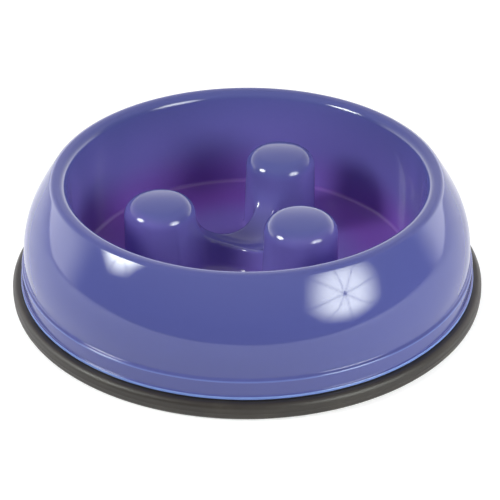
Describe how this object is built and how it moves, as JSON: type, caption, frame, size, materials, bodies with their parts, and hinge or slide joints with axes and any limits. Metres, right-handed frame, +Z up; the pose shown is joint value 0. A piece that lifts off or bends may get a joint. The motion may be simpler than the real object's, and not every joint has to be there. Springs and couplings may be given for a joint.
{
  "type": "slow feeder bowl",
  "caption": "Round pet bowl with upright pillars joined by a low web on its floor, sloping double wall, and a non-slip rubber ring round its foot.",
  "frame": {"origin": "centre of the bowl on the surface that it stands on", "axes": "+Z up along the bowl's axis; the three pillars stand at 60, 180 and 300 degrees from +X"},
  "size_m": [0.28, 0.28, 0.0735],
  "materials": {
    "bowl_plastic": "glossy moulded plastic",
    "ring_rubber": "smooth matt black rubber"
  },
  "bodies": {
    "root": {"skirt": "bowl_plastic", "rim": "bowl_plastic", "basin_wall": "bowl_plastic", "floor_pan": "bowl_plastic", "web": "bowl_plastic", "first_pillar": "bowl_plastic", "second_pillar": "bowl_plastic", "third_pillar": "bowl_plastic", "rubber_ring": "ring_rubber"}
  },
  "joints": []
}
